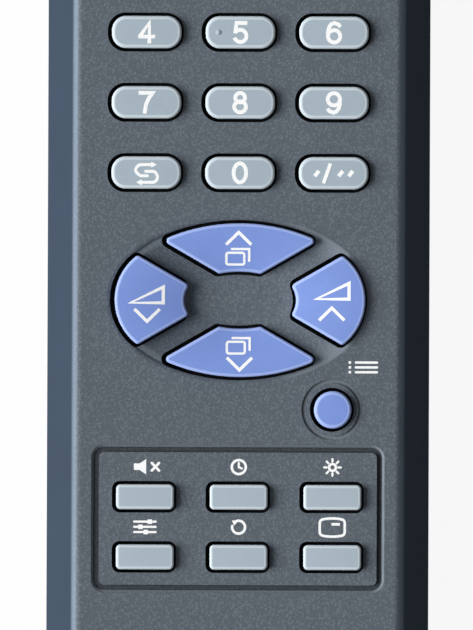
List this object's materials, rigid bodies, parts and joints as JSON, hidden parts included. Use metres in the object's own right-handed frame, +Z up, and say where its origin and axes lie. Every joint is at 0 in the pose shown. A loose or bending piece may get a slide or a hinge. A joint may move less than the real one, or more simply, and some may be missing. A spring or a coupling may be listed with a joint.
{
  "type": "tv remote control",
  "caption": "Long slim infrared remote control with oblong number keys, an oval direction pad, small function keys and a sliding battery door.",
  "frame": {"origin": "middle of the case in plan, in the plane that the back rests on", "axes": "+X to the right of the keys, +Y towards the front end with the infrared window, +Z up out of the keys"},
  "size_m": [0.0492, 0.148, 0.0233],
  "materials": {
    "case": "fine spark-eroded texture",
    "window": "smoked, polished",
    "silicone": "matt silicone",
    "key_grey": "satin silicone",
    "key_pale": "satin silicone",
    "key_blue": "satin silicone",
    "board": "phenolic board with solder mask",
    "carbon": "printed carbon",
    "chip": "moulded epoxy",
    "tin": "tinned",
    "resonator": "dipped ceramic",
    "led": "clear tinted epoxy",
    "capacitor": "sleeved can",
    "contact": "nickel plated",
    "spring_wire": "nickel plated wire",
    "cell": "printed jacket",
    "screw": "zinc plated"
  },
  "bodies": {
    "case": {"battery_cell_left": "cell", "battery_cell_right": "cell", "battery_springs": "spring_wire", "board_screws": "screw", "bridge_contact": "contact", "capacitor": "capacitor", "case_screws": "screw", "chip_legs": "tin", "circuit_board": "board", "contact_pads": "carbon", "control_chip": "chip", "driver_transistor": "chip", "ir_led": "led", "ir_window": "window", "keypad_mat": "silicone", "keypad_webs": "silicone", "led_leads": "tin", "lower_case": "case", "negative_contact": "contact", "positive_contact": "contact", "resistors": "chip", "resonator": "resonator", "upper_case": "case"},
    "battery_door": {"battery_door": "case"},
    "key_1": {"key_1": "key_grey"},
    "key_2": {"key_2": "key_grey"},
    "key_3": {"key_3": "key_grey"},
    "key_4": {"key_4": "key_grey"},
    "key_5": {"key_5": "key_grey"},
    "key_6": {"key_6": "key_grey"},
    "key_7": {"key_7": "key_grey"},
    "key_8": {"key_8": "key_grey"},
    "key_9": {"key_9": "key_grey"},
    "key_0": {"key_0": "key_grey"},
    "key_recall": {"key_recall": "key_grey"},
    "key_digits": {"key_digits": "key_grey"},
    "key_power": {"key_power": "key_grey"},
    "key_source": {"key_source": "key_grey"},
    "key_mute": {"key_mute": "key_pale"},
    "key_timer": {"key_timer": "key_pale"},
    "key_picture": {"key_picture": "key_pale"},
    "key_system": {"key_system": "key_pale"},
    "key_normal": {"key_normal": "key_pale"},
    "key_display": {"key_display": "key_pale"},
    "key_channel_up": {"key_channel_up": "key_blue"},
    "key_channel_down": {"key_channel_down": "key_blue"},
    "key_volume_down": {"key_volume_down": "key_blue"},
    "key_volume_up": {"key_volume_up": "key_blue"},
    "key_menu": {"key_menu": "key_blue"}
  },
  "joints": [
    {"name": "1_press", "type": "slide", "parent": "case", "child": "key_1", "axis": [0, 0, -1], "range_m": [0, 0.001], "stiffness_N_per_m": 400, "deforming": ["keypad_webs"]},
    {"name": "2_press", "type": "slide", "parent": "case", "child": "key_2", "axis": [0, 0, -1], "range_m": [0, 0.001], "stiffness_N_per_m": 400, "deforming": ["keypad_webs"]},
    {"name": "3_press", "type": "slide", "parent": "case", "child": "key_3", "axis": [0, 0, -1], "range_m": [0, 0.001], "stiffness_N_per_m": 400, "deforming": ["keypad_webs"]},
    {"name": "4_press", "type": "slide", "parent": "case", "child": "key_4", "axis": [0, 0, -1], "range_m": [0, 0.001], "stiffness_N_per_m": 400, "deforming": ["keypad_webs"]},
    {"name": "5_press", "type": "slide", "parent": "case", "child": "key_5", "axis": [0, 0, -1], "range_m": [0, 0.001], "stiffness_N_per_m": 400, "deforming": ["keypad_webs"]},
    {"name": "6_press", "type": "slide", "parent": "case", "child": "key_6", "axis": [0, 0, -1], "range_m": [0, 0.001], "stiffness_N_per_m": 400, "deforming": ["keypad_webs"]},
    {"name": "7_press", "type": "slide", "parent": "case", "child": "key_7", "axis": [0, 0, -1], "range_m": [0, 0.001], "stiffness_N_per_m": 400, "deforming": ["keypad_webs"]},
    {"name": "8_press", "type": "slide", "parent": "case", "child": "key_8", "axis": [0, 0, -1], "range_m": [0, 0.001], "stiffness_N_per_m": 400, "deforming": ["keypad_webs"]},
    {"name": "9_press", "type": "slide", "parent": "case", "child": "key_9", "axis": [0, 0, -1], "range_m": [0, 0.001], "stiffness_N_per_m": 400, "deforming": ["keypad_webs"]},
    {"name": "0_press", "type": "slide", "parent": "case", "child": "key_0", "axis": [0, 0, -1], "range_m": [0, 0.001], "stiffness_N_per_m": 400, "deforming": ["keypad_webs"]},
    {"name": "recall_press", "type": "slide", "parent": "case", "child": "key_recall", "axis": [0, 0, -1], "range_m": [0, 0.001], "stiffness_N_per_m": 400, "deforming": ["keypad_webs"]},
    {"name": "digits_press", "type": "slide", "parent": "case", "child": "key_digits", "axis": [0, 0, -1], "range_m": [0, 0.001], "stiffness_N_per_m": 400, "deforming": ["keypad_webs"]},
    {"name": "power_press", "type": "slide", "parent": "case", "child": "key_power", "axis": [0, 0, -1], "range_m": [0, 0.001], "stiffness_N_per_m": 400, "deforming": ["keypad_webs"]},
    {"name": "source_press", "type": "slide", "parent": "case", "child": "key_source", "axis": [0, 0, -1], "range_m": [0, 0.001], "stiffness_N_per_m": 400, "deforming": ["keypad_webs"]},
    {"name": "mute_press", "type": "slide", "parent": "case", "child": "key_mute", "axis": [0, 0, -1], "range_m": [0, 0.001], "stiffness_N_per_m": 400, "deforming": ["keypad_webs"]},
    {"name": "timer_press", "type": "slide", "parent": "case", "child": "key_timer", "axis": [0, 0, -1], "range_m": [0, 0.001], "stiffness_N_per_m": 400, "deforming": ["keypad_webs"]},
    {"name": "picture_press", "type": "slide", "parent": "case", "child": "key_picture", "axis": [0, 0, -1], "range_m": [0, 0.001], "stiffness_N_per_m": 400, "deforming": ["keypad_webs"]},
    {"name": "system_press", "type": "slide", "parent": "case", "child": "key_system", "axis": [0, 0, -1], "range_m": [0, 0.001], "stiffness_N_per_m": 400, "deforming": ["keypad_webs"]},
    {"name": "normal_press", "type": "slide", "parent": "case", "child": "key_normal", "axis": [0, 0, -1], "range_m": [0, 0.001], "stiffness_N_per_m": 400, "deforming": ["keypad_webs"]},
    {"name": "display_press", "type": "slide", "parent": "case", "child": "key_display", "axis": [0, 0, -1], "range_m": [0, 0.001], "stiffness_N_per_m": 400, "deforming": ["keypad_webs"]},
    {"name": "channel_up_press", "type": "slide", "parent": "case", "child": "key_channel_up", "axis": [0, 0, -1], "range_m": [0, 0.001], "stiffness_N_per_m": 400, "deforming": ["keypad_webs"]},
    {"name": "channel_down_press", "type": "slide", "parent": "case", "child": "key_channel_down", "axis": [0, 0, -1], "range_m": [0, 0.001], "stiffness_N_per_m": 400, "deforming": ["keypad_webs"]},
    {"name": "volume_down_press", "type": "slide", "parent": "case", "child": "key_volume_down", "axis": [0, 0, -1], "range_m": [0, 0.001], "stiffness_N_per_m": 400, "deforming": ["keypad_webs"]},
    {"name": "volume_up_press", "type": "slide", "parent": "case", "child": "key_volume_up", "axis": [0, 0, -1], "range_m": [0, 0.001], "stiffness_N_per_m": 400, "deforming": ["keypad_webs"]},
    {"name": "menu_press", "type": "slide", "parent": "case", "child": "key_menu", "axis": [0, 0, -1], "range_m": [0, 0.001], "stiffness_N_per_m": 400, "deforming": ["keypad_webs"]},
    {"name": "door_slide", "type": "slide", "parent": "case", "child": "battery_door", "axis": [0, -1, 0], "range_m": [0, 0.06]}
  ]
}
